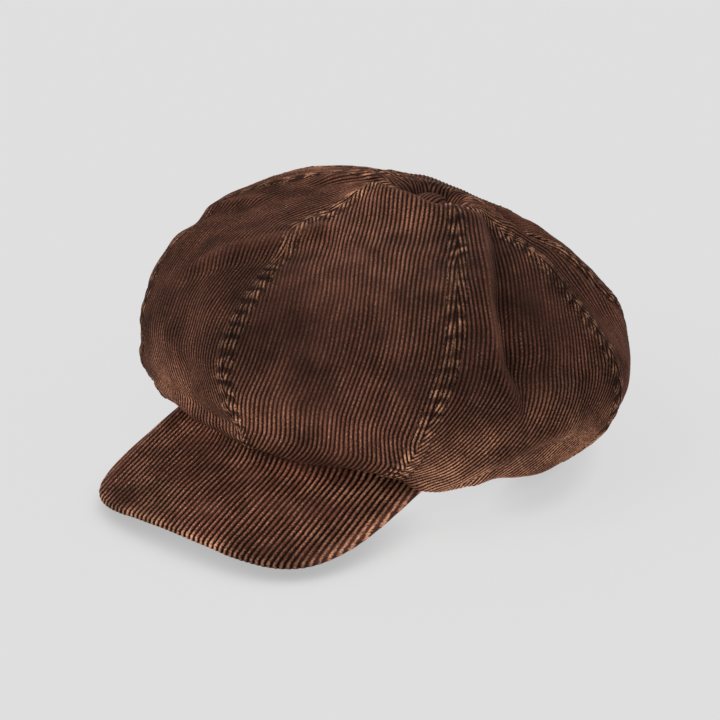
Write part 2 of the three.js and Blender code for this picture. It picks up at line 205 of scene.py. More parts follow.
def looked_up(grid, angle, share):
    """Values of a grid over angle and share, looked up between its own points."""
    a = (angle % 360.0) * (grid.shape[0] - 1) / 360.0
    b = np.clip(share, 0.0, 1.0) * (grid.shape[1] - 1)
    i = np.minimum(np.floor(a).astype(int), grid.shape[0] - 2)
    j = np.minimum(np.floor(b).astype(int), grid.shape[1] - 2)
    u, v = a - i, b - j
    if grid.ndim == 3:
        u, v = u[..., None], v[..., None]
    return ((grid[i, j] * (1 - u) + grid[i + 1, j] * u) * (1 - v)
            + (grid[i, j + 1] * (1 - u) + grid[i + 1, j + 1] * u) * v)


def slumped(x, y, z, share_out):
    """Moves crown points, from the head's middle, as the soft top has slid and tilted."""
    high = ease((z - EQUATOR_Z) / 60.0)
    slide = ease((0.9 - share_out) / 0.75) * high
    lean = (z - EQUATOR_Z) / (TOP_Z - EQUATOR_Z) * high
    return x + SLUMP_X * slide, y + SLUMP_Y * slide, z + (TILT_X * x + TILT_Y * y) * lean


# Angle of each seam, from the band up to the button: right of the front panel, then round the back.
SEAM_SHARES = (0.0, 0.2, 0.35, 0.55, 0.78, 1.0)
SEAMS = (
    (-8, -1, -7, -9, -24, -36),
    (30, 36, 42, 51, 54, 56),
    (82, 93, 97, 99, 96, 100),
    (122, 128, 131, 124, 132, 140),
    (168, 175, 177, 168, 171, 176),
    (214, 221, 223, 213, 207, 211),
    (260, 268, 268, 256, 240, 240),
    (306, 314, 314, 302, 275, 270),
)


def smooth_through(values, share):
    """A smooth curve through one seam's angles."""
    knots = np.array([SEAM_SHARES, values], float).T * (100.0, 1.0)
    curve = smooth_curve(knots[None])[0]
    return np.interp(share * 100.0, curve[:, 0], curve[:, 1])


def seam_angle(k, share):
    """Angle of seam k at a share of the way from the band to the button; seam 8 is seam 0 again."""
    return smooth_through(SEAMS[k % 8], share) + (360.0 if k == 8 else 0.0)


def gore_angle(k, share, across):
    """Angle of a point in gore k, at a share of its length and of its width."""
    start, end = seam_angle(k, share), seam_angle(k + 1, share)
    return start + (end - start) * across


# Large soft forms pressed into the crown: a line from one angle and share to another, its half width
# across and its height, in millimetres. Ridges are positive, hollows negative.
FOLDS = (
    (168, 0.80, 122, 0.74, 26.0, -11.0),  # the top falls away behind the button
    (207, 0.74, 167, 0.65, 18.0, -4.0),
    (180, 0.68, 170, 0.66, 10.0, -2.5),
    (-78, 0.52, -66, 0.56, 13.0, -6.0),  # flat shoulder at the wearer's right
    (-74, 0.39, -66, 0.39, 12.0, 2.0),
    (-74, 0.175, -46, 0.17, 8.5, 5.0),  # and the full roll below it
    (-62, 0.33, -22, 0.30, 10.0, -3.0),
    (112, 0.33, 134, 0.47, 26.0, 4.0),
    (43, 0.15, 56, 0.15, 12.0, 6.5),  # overhang beside the visor
    (-34, 0.245, -4, 0.205, 7.5, -4.0),
    (52, 0.62, 44, 0.36, 12.0, 1.6),
    (-32, 0.47, -26, 0.40, 13.0, -2.6),
    (-14, 0.62, -4, 0.40, 15.0, -2.6),  # front panel's flat
    (20, 0.30, 10, 0.55, 24.0, -1.6),
    (-10, 0.26, 26, 0.25, 8.0, 1.8),
    (150, 0.56, 156, 0.30, 16.0, -3.0),  # slack at the back
    (196, 0.60, 190, 0.30, 15.0, 2.6),
    (236, 0.58, 230, 0.34, 17.0, -3.2),
    (282, 0.56, 290, 0.32, 15.0, 2.4),
)

# Sharper creases, each from its upper end down: points of angle and share; then, in millimetres, the
# near side's width and height, and the far side's drop width, depth and width of return.
CREASES = (
    (((84, 0.91), (74, 0.83), (67, 0.72), (63, 0.61), (61, 0.475), (63, 0.40), (64, 0.31)),
     13.0, 5.0, 6.0, 7.0, 30.0),  # down the front left panel
    (((110, 0.87), (110, 0.77), (109, 0.67), (112, 0.56), (117, 0.47), (124, 0.38)),
     8.0, 4.5, 4.0, 8.5, 12.0),  # crest beyond the next seam
    (((-10, 0.75), (-16, 0.70), (-24, 0.64), (-33, 0.56), (-40, 0.48)),
     14.0, 3.5, 4.5, 5.5, 26.0),  # across the front right panel
    (((87, 0.33), (71, 0.314), (61.5, 0.282), (54.5, 0.244), (48, 0.203), (43, 0.16)),
     13.0, 4.2, 5.5, 3.8, 16.0),  # low fold beside the visor
    (((-52, 0.89), (-20, 0.872), (10, 0.866), (40, 0.872), (62, 0.872), (84, 0.89)),
     15.0, 7.0, 8.0, 0.0, 10.0),  # front crest that stands before the button
    (((-80, 0.89), (-48, 0.88), (-12, 0.87), (20, 0.868), (48, 0.87)),
     14.0, 5.0, 8.0, 0.0, 10.0),  # and is highest on its right
    (((-100, 0.925), (-88, 0.868), (-80, 0.82), (-72, 0.75)),
     10.0, 3.0, 5.0, 3.0, 12.0),  # short crease behind the front crest
    (((232, 0.74), (222, 0.60), (216, 0.46), (206, 0.36)), 14.0, 2.6, 8.0, 3.4, 26.0),
    (((300, 0.72), (292, 0.56), (284, 0.44)), 12.0, 2.2, 7.0, 2.8, 22.0),
)
SHARE_LENGTH = 255.0  # a panel's length, for the folds' own measure

GRID_ANGLES = np.arange(0.0, 360.5, 0.5)
GRID_SHARES = np.linspace(0.0, 1.0, 440)
GRID = np.meshgrid(GRID_ANGLES, GRID_SHARES, indexing="ij")
CREASE_RUB = 2.6  # half width of the rubbed line along a crease


def noise(x, y, seed):
    """A smooth random field between -1 and 1, with a grain of one unit."""
    size = 256
    lattice = np.random.default_rng(seed).uniform(-1.0, 1.0, (size, size))
    i, j = np.floor(x).astype(int), np.floor(y).astype(int)
    u, v = ease(x - i), ease(y - j)
    i, j = i % size, j % size
    i2, j2 = (i + 1) % size, (j + 1) % size
    low = lattice[i, j] * (1 - u) + lattice[i2, j] * u
    high = lattice[i, j2] * (1 - u) + lattice[i2, j2] * u
    return low * (1 - v) + high * v


def line_distance(angle, share, radius, start, end):
    """Distance from a short line, how far along it the nearest point is, and which side the point is on."""
    across = np.radians(turn_from(angle, start[0])) * radius
    along = (share - start[1]) * SHARE_LENGTH
    scale = np.radians(end[0] - start[0]) * radius
    rise = (end[1] - start[1]) * SHARE_LENGTH
    t = np.clip((across * scale + along * rise) / (scale**2 + rise**2 + 1e-9), 0.0, 1.0)
    gap = np.hypot(across - t * scale, along - t * rise)
    return gap, t, np.sign(scale * along - rise * across)


def fold_heights(angle, share, radius):
    """Sum of the folds, each a rounded ridge or hollow along its line."""
    total = np.zeros_like(radius)
    for a0, s0, a1, s1, width, height in FOLDS:
        gap, _, _ = line_distance(angle, share, radius, (a0, s0), (a1, s1))
        total += height * hill(gap, width)
    return total


def crease_gap(path, angle, share, radius):
    """Signed distance from a crease, positive on its far side, and how far along it, from 0 to 1."""
    best = np.full(radius.shape, 1e6)
    side, reach = np.ones(radius.shape), np.zeros(radius.shape)
    for number, (start, end) in enumerate(zip(path[:-1], path[1:])):
        gap, t, sign = line_distance(angle, share, radius, start, end)
        nearer = gap < best
        best = np.where(nearer, gap, best)
        side = np.where(nearer, sign, side)
        reach = np.where(nearer, (number + t) / (len(path) - 1), reach)
    return best * side, reach


def crease_heights(angle, share, radius):
    """Sum of the creases, and how rubbed the pile is along them."""
    total, rubbed = np.zeros_like(radius), np.zeros_like(radius)
    for path, near, height, drop, depth, back in CREASES:
        gap, reach = crease_gap(path, angle, share, radius)
        fade = ease(reach / 0.18) * ease((1.0 - reach) / 0.3)
        rise = height * hill(np.minimum(gap, 0.0), near)
        beyond = np.maximum(gap, 0.0)
        fall = (height + depth) * hill(beyond, drop) - depth * hill(beyond, back)
        total += np.where(gap < 0.0, rise, fall) * fade
        rubbed = np.maximum(rubbed, hill(gap - 0.5, CREASE_RUB) * fade)
    return total, rubbed


def normals_of(points):
    """Unit normals of a grid of points."""
    first = np.gradient(points, axis=0)
    second = np.gradient(points, axis=1)
    normal = np.cross(first, second)
    return normal / np.maximum(np.linalg.norm(normal, axis=-1, keepdims=True), 1e-9)


def turned_to(normals, probe, direction):
    """The normals, all turned over if the one at the probe points away from a direction."""
    return normals if normals[probe] @ direction > 0 else -normals


def panel_of(angle, share):
    """Which panel a point is in, and how far across it, from 0 to 1."""
    seams = np.stack([seam_angle(k, share) for k in range(9)])
    turned = (angle - seams[0]) % 360.0
    index = np.zeros(angle.shape, int)
    across = np.zeros(angle.shape)
    for k in range(8):
        low, high = seams[k] - seams[0], seams[k + 1] - seams[0]
        here = (turned >= low) & (turned <= high)
        index = np.where(here, k, index)
        across = np.where(here, (turned - low) / (high - low), across)
    return index, across


def plain_crown():
    """The crown's surface, slumped and with flattened gores but no folds, and its radius before that."""
    angle, share = GRID
    radii, heights = crown_table()
    radius, height = looked_up(radii, angle, share), looked_up(heights, angle, share)
    dx, dy, widest = crown_direction(angle)
    index, across = panel_of(angle, share)
    spans = np.array([FRONT_PANEL] + [(360.0 - FRONT_PANEL) / 7.0] * 7)[index]
    depth = FLATNESS * (1.0 - np.cos(np.radians(spans / 2)))
    depth = depth * ease((share - 0.17) / 0.12) * ease((0.93 - share) / 0.2)
    radius = radius * (1.0 - depth * (1.0 - (2 * across - 1) ** 2))
    x, y, z = slumped(dx * radius, dy * radius, height, radius / widest)
    return np.stack([x, y + HEAD_Y, z], -1), radius


def folded_crown(points, outward, radius):
    """The plain crown with its folds, creases and slack, and how rubbed the pile is along the creases."""
    angle, share = GRID
    measure = np.maximum(radius, POLE_RADIUS)
    creases, rubbed = crease_heights(angle, share, measure)
    lift = fold_heights(angle, share, measure) + creases
    room = ease((share - 0.04) / 0.1) * ease((0.95 - share) / 0.1)
    fade = ease(angle / 12.0) * ease((360.0 - angle) / 12.0)
    column = 9 * angle / 360.0
    slack = 1.4 * noise(column * 1.6 + 5.0, share * 7.0, 3) + 0.6 * noise(column * 4.2, share * 17.0, 4)
    return points + outward * ((lift + slack * fade) * room)[..., None], rubbed


PLAIN_CROWN, PLAIN_RADIUS = plain_crown()
PLAIN_OUTWARD = normals_of(PLAIN_CROWN)
CROWN, RUBBED = folded_crown(PLAIN_CROWN, PLAIN_OUTWARD, PLAIN_RADIUS)


# ---- Meshes ----
SKIN_STEP = 5  # the inside of a panel keeps every fifth row and column


def added(name, data):
    """A new object in the scene."""
    thing = bpy.data.objects.new(name, data)
    bpy.context.scene.collection.objects.link(thing)
    return thing


def make_object(name, points, faces, values=None):
    """A smooth mesh piece from points in millimetres, faces and named per-point numbers."""
    mesh = bpy.data.meshes.new(name)
    sizes = np.array([len(face) for face in faces])
    flat = np.concatenate([np.asarray(face) for face in faces])
    mesh.vertices.add(len(points))
    mesh.vertices.foreach_set("co", (np.asarray(points) / 1000.0).astype(np.float32).ravel())
    mesh.loops.add(len(flat))
    mesh.loops.foreach_set("vertex_index", flat.astype(np.int32))
    mesh.polygons.add(len(sizes))
    mesh.polygons.foreach_set("loop_start", np.concatenate([[0], np.cumsum(sizes)[:-1]]).astype(np.int32))
    mesh.polygons.foreach_set("use_smooth", np.ones(len(sizes), bool))
    mesh.update(calc_edges=True)
    for key, numbers in (values or {}).items():
        layer = mesh.attributes.new(key, "FLOAT", "POINT")
        layer.data.foreach_set("value", np.asarray(numbers, np.float32).ravel())
    return added(name, mesh)


def quads(ids, around=False, closed=False):
    """Quads of a grid of point numbers; around joins its last column to the first, closed its last row."""
    ids = np.pad(ids, ((0, int(closed)), (0, int(around))), mode="wrap")
    return np.stack([ids[:-1, :-1], ids[:-1, 1:], ids[1:, 1:], ids[1:, :-1]], -1).reshape(-1, 4)


def numbered(rows, columns, start=0):
    """A grid of point numbers, row by row."""
    return start + np.arange(rows * columns).reshape(rows, columns)


def closed_sheet(name, outer, inner, values, flip=False, step=SKIN_STEP):
    """A sheet with thickness: a fine outer grid and a thinned inner one, joined round their edge."""
    thin = inner[::step, ::step]
    fine = numbered(*outer.shape[:2])
    coarse = numbered(*thin.shape[:2], start=fine.size)
    faces = list(quads(fine)) + list(quads(coarse)[:, ::-1])
    edges = ((fine[0], coarse[0]), (fine[:, -1], coarse[:, -1]),
             (fine[-1, ::-1], coarse[-1, ::-1]), (fine[::-1, 0], coarse[::-1, 0]))
    for outside, inside in edges:
        for n in range(len(inside) - 1):
            stretch = outside[n * step:(n + 1) * step + 1]
            faces.append(np.append(stretch[::-1], inside[n:n + 2]))
    if flip:
        faces = [face[::-1] for face in faces]
    points = np.concatenate([outer.reshape(-1, 3), thin.reshape(-1, 3)])
    both = {key: np.append(v.ravel(), v[::step, ::step].ravel()) for key, v in values.items()}
    return make_object(name, points, faces, both)


def in_steps(length, step):
    """How many grid cells of about one step fit a length, as a multiple of the thinning step."""
    return SKIN_STEP * max(1, round(length / step / SKIN_STEP))


# ---- Corduroy ----
WALE_PITCH = 2.55
VISOR_PITCH = 3.1
WALE_HEIGHT = 0.66
ACROSS_STEP = 0.4
ALONG_STEP = 1.25
CLOTH = 1.4
SEAM_BAND = 5.4  # topstitching's distance from the seam
PUCKER = 8.2  # length of one pucker along a seam

# Where washing has rubbed the pile flat: angle, share, radius in millimetres and strength.
RUBS = (
    (-42, 0.44, 26.0, 0.40),
    (8, 0.50, 34.0, 0.55),
    (82, 0.58, 19.0, 0.65),
    (104, 0.46, 13.0, 0.9),
    (114, 0.36, 16.0, 0.8),
    (200, 0.45, 30.0, 0.5),
    (255, 0.55, 26.0, 0.5),
)
# Where the cloth is painted paler or darker, partly as uneven dye and partly as painted light and shade:
# angle, share, radius in millimetres and share of the tone.
TONES_AND_PAINTED_LIGHT = (
    (6, 0.46, 34.0, -0.22),
    (10, 0.22, 26.0, -0.10),
    (80, 0.62, 22.0, -0.42),
    (74, 0.42, 20.0, -0.20),
    (114, 0.38, 28.0, 0.42),
    (50, 0.23, 26.0, 0.80),
    (76, 0.34, 22.0, 0.30),
    (-48, 0.27, 26.0, -0.45),
    (-14, 0.31, 24.0, -0.22),
    (-20, 0.47, 22.0, -0.10),
    (26, 0.62, 24.0, 0.12),
    (-9, 0.215, 9.0, -0.45),
    (28, 0.68, 26.0, 0.24),
    (5, 0.80, 32.0, 0.34),
    (-20, 0.55, 24.0, -0.14),
    (-60, 0.80, 24.0, 0.28),
    (-118, 0.72, 36.0, 0.60),
    (112, 0.88, 26.0, 0.50),
    (112, 0.58, 20.0, 0.35),
)
# Where the rib tips have worn to tan: angle, share, radius in millimetres and strength.
TIPS = (
    (52, 0.20, 34.0, 0.60),
    (80, 0.28, 28.0, 0.45),
    (-4, 0.20, 30.0, 0.22),
    (6, 0.80, 34.0, 0.13),
    (-34, 0.22, 24.0, 0.35),
    (40, 0.60, 22.0, 0.14),
    (-110, 0.74, 34.0, 0.25),
)
LOW_TONE_AND_LIGHT = 0.70  # the cloth is painted paler towards its lower edge, partly as paler dye and partly as painted light
LOW_SHARES = (0.40, 0.20)


def spots(rows, angle, share, radius):
    """Sum of soft round spots on the crown."""
    total = np.zeros(np.broadcast(angle, share).shape)
    for a0, s0, size, strength in rows:
        across = np.radians(turn_from(angle, a0)) * radius
        along = (share - s0) * SHARE_LENGTH
        total += strength * hill(np.hypot(across, along), size)
    return total


def wale_relief(wale, along, seed):
    """Height of the ribs: rounded tops, open valleys, and pile that has worn unevenly."""
    ridge = np.abs(np.sin(np.pi * wale)) ** 1.2
    rib = np.floor(wale)
    broad, fine = noise(rib * 3.7 + 11.0, along / 7.0, seed), noise(rib * 5.3, along / 2.2, seed + 1)
    return WALE_HEIGHT * (ridge - 0.5) * (0.84 + 0.26 * broad + 0.16 * fine)


def seam_relief(gap, along, seed, side):
    """A flat double band beside a seam, puckered in blocks: height, how worn, and how deep in shade."""
    inside = ease((SEAM_BAND + 0.9 - gap) / 1.8)
    valley = -0.45 * hill(gap, 0.6)
    groove = -0.35 * hill(gap - SEAM_BAND, 0.7)
    flat = np.zeros_like(along)
    wave = along / PUCKER + 0.45 * noise(along / 15.0, flat + seed * 3.1, seed) + 0.13 * side
    wave = wave + 0.10 * noise(gap / 3.0 + 7.0 * side, along / 6.0, seed + 5) + 0.03 * gap
    block = np.tanh(2.0 * np.sin(2 * np.pi * wave))
    patch = np.clip(0.55 + 0.9 * noise(along / 24.0, flat + seed + 0.5, seed + 2), 0.0, 1.2)
    patch = patch * (0.85 + 0.45 * noise(gap / 3.4 + 3.0 * side, along / 4.5, seed + 9))
    beyond = hill(np.maximum(gap - SEAM_BAND, 0.0), 4.0) * (1.0 - inside)
    height = valley + groove + 0.30 * inside + block * patch * (0.34 * inside + 0.16 * beyond)
    worn = inside * ease(0.5 + 0.6 * block * patch) + 0.25 * beyond * ease(block * patch)
    worn = worn * np.clip(0.80 + 0.85 * noise(gap / 1.3 + 9.0 * side, along / 2.6, seed + 11), 0.0, 1.2)
    shade = inside * ease(0.1 - 0.9 * block * patch) * 0.95 + 0.35 * hill(gap, 0.7)
    return height, worn, shade


def arc_lengths(points, axis):
    """Distance run along one axis of a grid of points, from its first row or column."""
    steps = np.linalg.norm(np.diff(points, axis=axis), axis=-1)
    start = np.zeros_like(np.take(steps, [0], axis=axis))
    return np.concatenate([start, np.cumsum(steps, axis=axis)], axis=axis)


# The line that the wales run beside, as a share of the gore's width.
GRAIN_FROM = {"front": 0.86, "front_left": 0.14, "front_right": 0.75}
# How far the wales bend sideways low down, in millimetres, and the shares where the bend starts and ends.
GRAIN_BEND = {
    "front": (-9.0, 0.31, 0.21),
    "front_left": (34.0, 0.42, 0.15),
    "front_right": (-14.0, 0.34, 0.19),
}
NO_BEND = (0.0, 0.4, 0.2)
INSIDE = (0.0, HEAD_Y, 50.0)  # a point inside the crown
UP = np.array((0.0, 0.0, 1.0))


def gore_grid(k):
    """A gore's base points, and the angle and share of each, with the distance run across and along it."""
    rough_share = np.linspace(0.0, 1.0, 60)[:, None]
    rough = looked_up(CROWN, gore_angle(k, rough_share, np.linspace(0, 1, 40)[None]), rough_share)
    width = arc_lengths(rough, 1)[:, -1].max()
    length = arc_lengths(rough, 0)[-1].max()
    share = np.linspace(0.0, 1.0, in_steps(length, ALONG_STEP) + 1)[:, None]
    across = np.linspace(0.0, 1.0, in_steps(width, ACROSS_STEP) + 1)[None, :]
    angle = gore_angle(k, share, across)
    base = looked_up(CROWN, angle, share)
    return base, angle, share, arc_lengths(base, 1), arc_lengths(base, 0)


def gore_wales(k, run, along, share):
    """Number of the wale at each point of a gore, and the distance from the line that they run beside."""
    sideways = run - run[:, -1:] * GRAIN_FROM.get(PANELS[k], 0.5)
    drift = 1.6 * noise(sideways / 38.0, along / 46.0, 20 + k)
    drift += 0.4 * noise(sideways / 12.0, along / 17.0, 30 + k)
    bend, bend_start, bend_end = GRAIN_BEND.get(PANELS[k], NO_BEND)
    bent = bend * ease((bend_start - share) / (bend_start - bend_end))
    return (sideways + drift + bent) / WALE_PITCH, sideways


def crown_panel(k):
    """One gore of the crown, and the paths of the topstitching beside its two seams."""
    base, angle, share, run, along = gore_grid(k)
    probe = base.shape[0] // 2, base.shape[1] // 2
    outward = turned_to(normals_of(base), probe, base[probe] - INSIDE)
    wale, sideways = gore_wales(k, run, along, share)
    left, right = run, run[:, -1:] - run
    beside = share * SHARE_LENGTH + 0.0 * run
    low, low_worn, low_shade = seam_relief(left, beside, 40 + 3 * k, 0.0)
    high, high_worn, high_shade = seam_relief(right, beside, 40 + 3 * ((k + 1) % 8), 1.0)
    calm = ease(np.minimum(left, right) / 2.0)
    narrow = ease((run[:, -1:] - 6.0) / 14.0)
    measure = np.maximum(np.hypot(base[..., 0], base[..., 1] - HEAD_Y), POLE_RADIUS)
    creased = looked_up(RUBBED, angle, share)
    rub = spots(RUBS, angle, share, measure)
    rub += 0.35 * ease(0.9 * noise(sideways / 21.0, along / 24.0, 100 + k))
    rub = np.clip(np.maximum(rub, 0.9 * creased), 0.0, 0.95)
    height = wale_relief(wale, along, 60 + 2 * k) * (0.35 + 0.65 * calm) * (1.0 - 0.6 * rub)
    height += (low + high) * narrow
    height += 0.4 * noise(sideways / 11.0, along / 13.0, 80 + k) * calm
    ends = ease(share / 0.02) * ease((1.0 - share) / 0.02)
    points = base + outward * (height * ends)[..., None]
    worn = np.clip((low_worn + high_worn) * narrow + spots(TIPS, angle, share, measure), 0.0, 1.0)
    shade = np.clip((low_shade + high_shade) * narrow, 0.0, 1.0)
    # Painted tone: spots that are partly uneven dye and partly painted light and shade, paler rubbed
    # creases, and a paler lower edge that is partly painted light.
    tone_and_painted_light = spots(TONES_AND_PAINTED_LIGHT, angle, share, measure) + 0.35 * creased
    tone_and_painted_light = tone_and_painted_light + LOW_TONE_AND_LIGHT * ease((LOW_SHARES[0] - share) / LOW_SHARES[1])
    values = {"wale": wale, "along": along, "worn": worn, "shade": shade, "rub": rub, "tone_and_painted_light": tone_and_painted_light}
    thing = closed_sheet("crown_gore_" + PANELS[k], points, base - outward * CLOTH, values)
    stitches = []
    for distance in (left, right):
        columns_at = np.array([np.interp(SEAM_BAND, *order(d)) for d in distance])
        stitches.append(along_column(points, outward, columns_at, run[:, -1] > 4.0 * SEAM_BAND))
    return thing, stitches


def order(distance):
    """A row's distances from a seam and its column numbers, in rising order of distance."""
    columns = np.arange(len(distance), dtype=float)
    return (distance, columns) if distance[0] < distance[-1] else (distance[::-1], columns[::-1])


def along_column(points, outward, columns_at, wide):
    """The line down a grid at a fractional column in each row, where the panel is wide enough."""
    rows = np.nonzero(wide)[0]
    j = np.minimum(np.floor(columns_at[rows]).astype(int), points.shape[1] - 2)
    u = (columns_at[rows] - j)[:, None]
    line = points[rows, j] * (1 - u) + points[rows, j + 1] * u
    normal = outward[rows, j]
    return line, normal


# ---- Topstitching ----
STITCH = 2.7
STITCH_GAP = 0.8
THREAD = 0.33
STITCH_SIDES = 6
STITCH_SHARES = np.array([0.0, 0.12, 0.35, 0.65, 0.88, 1.0])
STITCH_SIZES = np.array([0.30, 0.85, 1.0, 1.0, 0.85, 0.30]) * THREAD
STITCH_LIFTS = np.array([-0.30, 0.10, 0.34, 0.34, 0.10, -0.30])


def on_line(values, run, distances):
    """Values along a line, looked up at distances along it."""
    return np.stack([np.interp(distances, run, values[:, c]) for c in range(3)], -1)


def unit(vectors):
    """Vectors of length 1."""
    return vectors / np.linalg.norm(vectors, axis=-1, keepdims=True)


def stitch_mesh(line, normal, first):
    """Rounded thread stitches laid end to end along a line on the cloth."""
    run = arc_lengths(line[:, None, :], 0)[:, 0]
    angle = 2 * np.pi * np.arange(STITCH_SIDES) / STITCH_SIDES
    each = STITCH_SIDES * len(STITCH_SHARES)
    points, faces = [], []
    for start in np.arange(2.0, run[-1] - STITCH - 2.0, STITCH + STITCH_GAP):
        places = start + STITCH_SHARES * STITCH
        centre, up = on_line(line, run, places), unit(on_line(normal, run, places))
        side = np.cross(unit(centre[-1] - centre[0]), up)
        centre = centre + up * STITCH_LIFTS[:, None]
        spread = np.cos(angle)[None, :, None] * side[:, None] + np.sin(angle)[None, :, None] * up[:, None]
        ids = numbered(len(STITCH_SHARES), STITCH_SIDES, first + each * len(points))
        points.append((centre[:, None] + STITCH_SIZES[:, None, None] * spread).reshape(-1, 3))
        faces += list(quads(ids, around=True)[:, ::-1]) + [ids[0], ids[-1, ::-1]]
    return points, faces


def stitching(name, lines):
    """All the stitches along several lines, as one piece."""
    points, faces = [], []
    for line, normal in lines:
        done = sum(len(p) for p in points)
        new_points, new_faces = stitch_mesh(line, normal, done)
        points += new_points
        faces += new_faces
    return make_object(name, np.concatenate(points), faces)


# ---- Visor ----
VISOR_THICK = 5.0
VISOR_RIM = 3.8  # thickness at the edge, where the covers close up
VISOR_TAPER = 6.0  # width over which they do
VISOR_FILLET = 5.0  # the cover turns up against the band
VISOR_GRAIN = math.radians(9.0)  # how far the visor's wales turn from straight ahead
VISOR_SEAM = 58.0  # degrees round the band, to each side
VISOR_COVER = 1.1  # thickness of its cloth
VISOR_RIB = 1.35  # its ribs' height against the crown's
VISOR_TURN = 6.6  # the top cover turns this far under the edge
VISOR_AROUND = 300.0  # about the length of the edge, and of the under cover's edge inside it
UNDER_AROUND = 250.0
VISOR_REACH = 74.0  # about the width from the band to the edge, and of the under cover
UNDER_REACH = 64.0


def visor_outline(sweep):
    """The visor's front outline in plan; y from the head's middle."""
    turn = np.pi / 2 * sweep
    power = 2.0 / np.where(turn < 0.0, *VISOR_SQUARE)
    forward = np.abs(np.cos(turn)) ** power
    splay = np.where(turn < 0.0, *VISOR_SPLAY) * (1.0 - forward)
    x = np.sign(turn) * (VISOR_HALF * np.abs(np.sin(turn)) ** power + splay)
    y = (VISOR_SKEW * np.maximum(0.0, -x) - BAND_Y - VISOR_DEPTH + VISOR_WIDEST) * forward - VISOR_WIDEST
    return np.stack([x, y], -1)


def even_outline(count):
    """Outline points at even spacing, with the share of the way round for each."""
    sweep = np.sin(np.linspace(-np.pi / 2, np.pi / 2, 6001))
    line = visor_outline(sweep)
    run = arc_lengths(line[:, None, :], 0)[:, 0]
    wanted = np.linspace(0, run[-1], count)
    line = np.stack([np.interp(wanted, run, line[:, c]) for c in range(2)], -1)
    steps = unit(np.gradient(line, axis=0))
    normal = np.stack([steps[:, 1], -steps[:, 0]], -1)
    return line, normal if normal[count // 2, 1] < 0 else -normal, wanted / run[-1]


def visor_strip(columns, inset):
    """The visor's seam on the band, its edge drawn in by an inset, and the edge's normal."""
    outline, normal, share = even_outline(columns)
    sweep = np.radians(VISOR_SEAM) * (2 * share - 1)
    root = np.stack([(BAND_X + 0.3) * np.sin(sweep), -(BAND_Y + 0.3) * np.cos(sweep)], -1)
    return root, outline - normal * inset, normal


def visor_top_base():
    """The top cover's smooth surface, from the band over the edge and under it, with the edge's normal.

    Also returns how many of its rows lie before the edge."""
    radius = VISOR_RIM / 2
    closed = (VISOR_THICK - VISOR_RIM) / 2
    root, edge, normal = visor_strip(in_steps(VISOR_AROUND, ACROSS_STEP) + 1, radius)
    flat_rows = in_steps(VISOR_REACH, 1.0)
    t = np.linspace(0.0, 1.0, flat_rows, endpoint=False)[:, None, None]
    flat = root[None] * (1 - t) + edge[None] * t
    from_root = np.linalg.norm(flat - root[None], axis=-1, keepdims=True)
    turned_up = VISOR_FILLET * np.exp(-((from_root / 4.5) ** 1.4))
    to_rim = np.linalg.norm(flat - edge[None], axis=-1, keepdims=True)
    lowered = closed * ease((VISOR_TAPER - to_rim) / VISOR_TAPER)
    top = np.concatenate([flat, visor_top(flat[..., :1], flat[..., 1:]) + turned_up - lowered], -1)
    width = np.pi * radius + VISOR_TURN
    around = np.linspace(0.0, width, in_steps(width, 0.5) + 1)[:, None]
    turn = np.minimum(around / radius, np.pi)
    under = np.maximum(around - np.pi * radius, 0.0)
    out = radius * np.sin(turn) - under
    drop = closed + radius * (1 - np.cos(turn)) + closed * ease(under / VISOR_TAPER)
    wrapped = edge[None] + normal[None] * out[..., None]
    edge_height = visor_top(edge[:, 0], edge[:, 1])
    below = visor_top(wrapped[..., 0], wrapped[..., 1])
    height = edge_height[None] * (1 - ease(under / 2.0)) + below * ease(under / 2.0) - drop
    base = np.concatenate([top, np.concatenate([wrapped, height[..., None]], -1)])
    base[..., 1] += HEAD_Y
    return base, normal, flat_rows


def visor_top_cover():
    """The corduroy that covers the visor's upper side and wraps round its edge."""
    base, normal, flat_rows = visor_top_base()
    outward = turned_to(normals_of(base), (base.shape[0] // 4, base.shape[1] // 2), UP)
    x, y = base[..., 0], base[..., 1]
    along = arc_lengths(base, 0)
    past_edge = along - along[flat_rows][None]
    turned = x * math.cos(VISOR_GRAIN) + y * math.sin(VISOR_GRAIN)
    wale = (turned + 0.35 * noise(x / 16.0, along / 25.0, 120)) / VISOR_PITCH
    sway = 0.5 * noise(x / 30.0, along / 22.0, 121) + 0.3 * noise(x / 11.0, along / 12.0, 122)
    sway = sway * (1 - hill(past_edge, 5.0))
    sides = ease((np.abs(normal[:, 0]) - 0.6) / 0.4)[None]
    rub = 0.85 * sides * hill(past_edge, 6.5) + 0.8 * hill(along, 2.2)
    rub = np.clip(rub + 0.3 * ease(noise(x / 24.0, along / 18.0, 126)), 0.0, 0.95)
    turned_down = ease((past_edge + 3.0) / 5.0)
    relief = VISOR_RIB * wale_relief(wale, along, 123) * (1.0 - 0.75 * rub) * (1.0 - 0.5 * turned_down)
    points = base + outward * ((relief + sway) * ease(along / 4.0))[..., None]
    worn = hill(past_edge - 2.0, 3.2) * (0.9 - 0.45 * sides)
    worn = np.clip(worn + 0.45 * ease(noise(x / 21.0, along / 19.0, 128) + 0.1), 0, 1)
    # Tone: painted light near the band, where the crown's lip shades the visor, paler worn side margins,
    # and uneven dye.
    tone_and_painted_light = 0.55 * sides * hill(past_edge, 7.0) + 0.80 * hill(along, 20.0)
    tone_and_painted_light += 0.20 * noise(x / 13.0, along / 17.0, 127)
    shade = np.clip(1.0 - along / 9.0, 0, 1) * 0.15
    values = {"wale": wale, "along": along, "worn": worn, "shade": shade, "rub": rub, "tone_and_painted_light": tone_and_painted_light}
    return closed_sheet("visor_top_cloth", points, base - outward * VISOR_COVER, values, flip=True)


